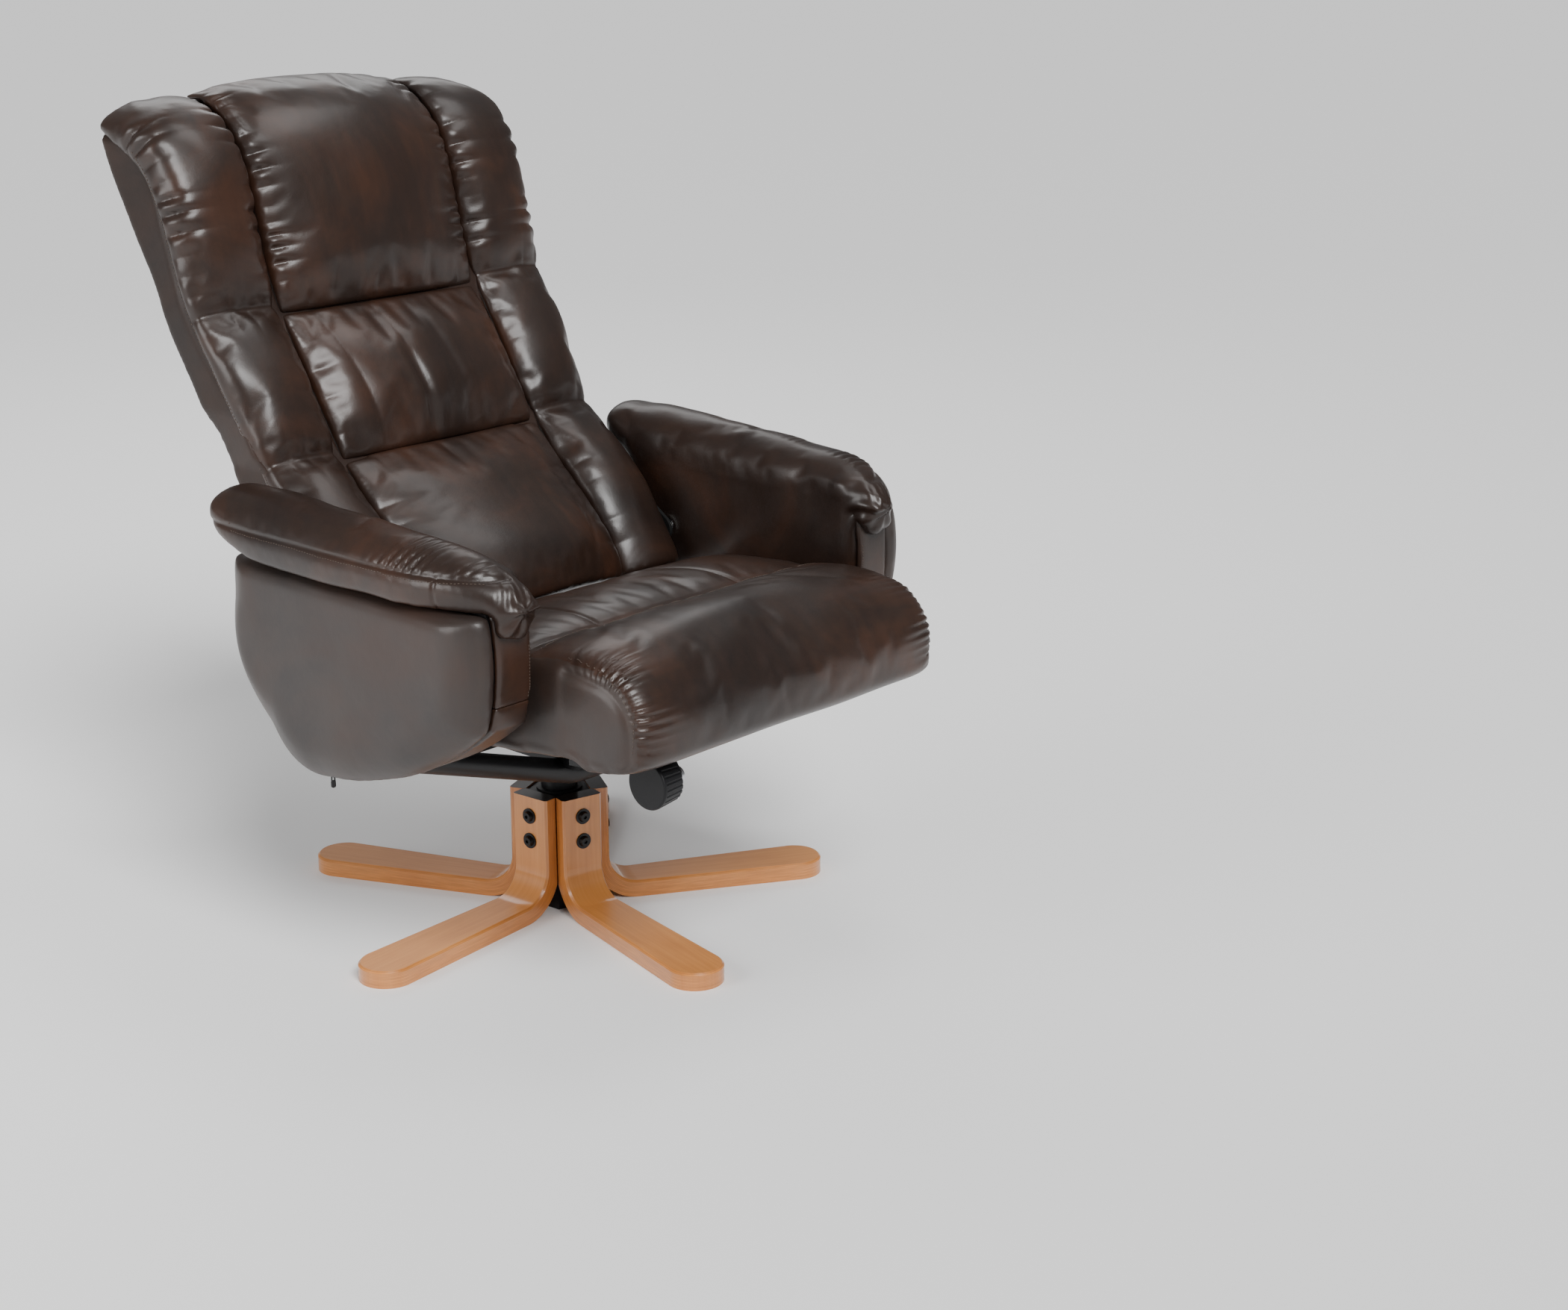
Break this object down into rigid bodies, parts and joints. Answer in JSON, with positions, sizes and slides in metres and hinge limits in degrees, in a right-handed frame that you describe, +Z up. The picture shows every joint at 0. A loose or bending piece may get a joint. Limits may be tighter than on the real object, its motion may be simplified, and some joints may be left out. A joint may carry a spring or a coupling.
{
  "type": "swivel recliner chair",
  "caption": "Leather-covered swivel recliner with padded arms and a reclining back, on a star base of bent wooden legs.",
  "frame": {"origin": "on the swivel axis at floor level", "axes": "+Z up along the swivel axis, -Y the way the sitter faces, +X to the sitter's left"},
  "size_m": [0.755, 0.898, 1.0087],
  "materials": {
    "bonded_leather": "glossy dark chocolate bonded leather over foam, burnished reddish brown",
    "lacquered_beech": "honey lacquered bent beech plywood",
    "black_hardware": "black zinc",
    "black_steel": "satin black powder coat",
    "bare_steel": "zinc plated",
    "nylon": "natural nylon",
    "knob_plastic": "matt black moulded",
    "zip_metal": "black enamelled zip hardware",
    "frame_wood": "raw plywood",
    "webbing": "woven elastic webbing"
  },
  "bodies": {
    "base": {"hub_column": "black_steel", "leg_1": "lacquered_beech", "leg_2": "lacquered_beech", "leg_3": "lacquered_beech", "leg_4": "lacquered_beech", "leg_5": "lacquered_beech", "leg_bolts": "black_hardware", "leg_washers": "black_hardware", "spindle": "bare_steel", "spindle_clip": "bare_steel", "thrust_washer": "nylon"},
    "carriage": {"arm_bolts": "bare_steel", "arm_border_left": "bonded_leather", "arm_border_right": "bonded_leather", "arm_core_left": "frame_wood", "arm_core_right": "frame_wood", "arm_front_strip_left": "bonded_leather", "arm_front_strip_right": "bonded_leather", "arm_liner_left": "bonded_leather", "arm_liner_right": "bonded_leather", "arm_outer_panel_left": "bonded_leather", "arm_outer_panel_right": "bonded_leather", "arm_roll_left": "bonded_leather", "arm_roll_right": "bonded_leather", "carrier_channel": "black_steel", "front_cross_member": "black_steel", "guide_pins": "bare_steel", "rear_cross_member": "black_steel", "recline_pivots": "bare_steel", "swivel_sleeve": "black_steel", "yoke_left": "black_steel", "yoke_right": "black_steel", "zip_sliders": "zip_metal"},
    "seat": {"seat_base_cover": "bonded_leather", "seat_cross_rails": "frame_wood", "seat_cushion": "bonded_leather", "seat_guide_plate_left": "bare_steel", "seat_guide_plate_right": "bare_steel", "seat_side_rail_left": "frame_wood", "seat_side_rail_right": "frame_wood", "seat_webbing": "webbing"},
    "backrest": {"back_bottom_rail": "frame_wood", "back_hinge_plate_left": "bare_steel", "back_hinge_plate_right": "bare_steel", "back_middle_rail": "frame_wood", "back_shell": "bonded_leather", "back_side_rail_left": "frame_wood", "back_side_rail_right": "frame_wood", "back_top_rail": "frame_wood", "back_webbing": "webbing", "bolster_left": "bonded_leather", "bolster_right": "bonded_leather", "head_pad": "bonded_leather", "lower_back_pad": "bonded_leather", "lumbar_pad": "bonded_leather", "pivot_bushes": "nylon"},
    "tension_knob": {"tension_knob": "knob_plastic", "knob_stud": "bare_steel"},
    "zip_pull_right": {"zip_pull_right": "zip_metal"},
    "zip_pull_left": {"zip_pull_left": "zip_metal"}
  },
  "joints": [
    {"name": "swivel", "type": "hinge", "parent": "base", "child": "carriage", "pos_m": [0, 0, 0.18], "axis": [0, 0, 1], "continuous": true},
    {"name": "recline", "type": "hinge", "parent": "carriage", "child": "backrest", "pos_m": [0, 0.075, 0.425], "axis": [-1, 0, 0], "range_deg": [0, 22]},
    {"name": "seat_slide", "type": "slide", "parent": "carriage", "child": "seat", "axis": [0, -0.9954, 0.0958], "range_m": [0, 0.05]},
    {"name": "knob_turn", "type": "hinge", "parent": "carriage", "child": "tension_knob", "pos_m": [-0.178, -0.35, 0.29002], "axis": [-1, 0, 0], "range_deg": [0, 450]},
    {"name": "zip_swing_right", "type": "hinge", "parent": "carriage", "child": "zip_pull_right", "pos_m": [-0.3333, 0.044, 0.2429], "axis": [1, 0, 0], "range_deg": [-60, 60]},
    {"name": "zip_swing_left", "type": "hinge", "parent": "carriage", "child": "zip_pull_left", "pos_m": [0.3333, 0.044, 0.2429], "axis": [1, 0, 0], "range_deg": [-60, 60]}
  ],
  "couplings": [
    {"joint": "seat_slide", "follows": "recline", "m_per_rad": 0.13}
  ]
}
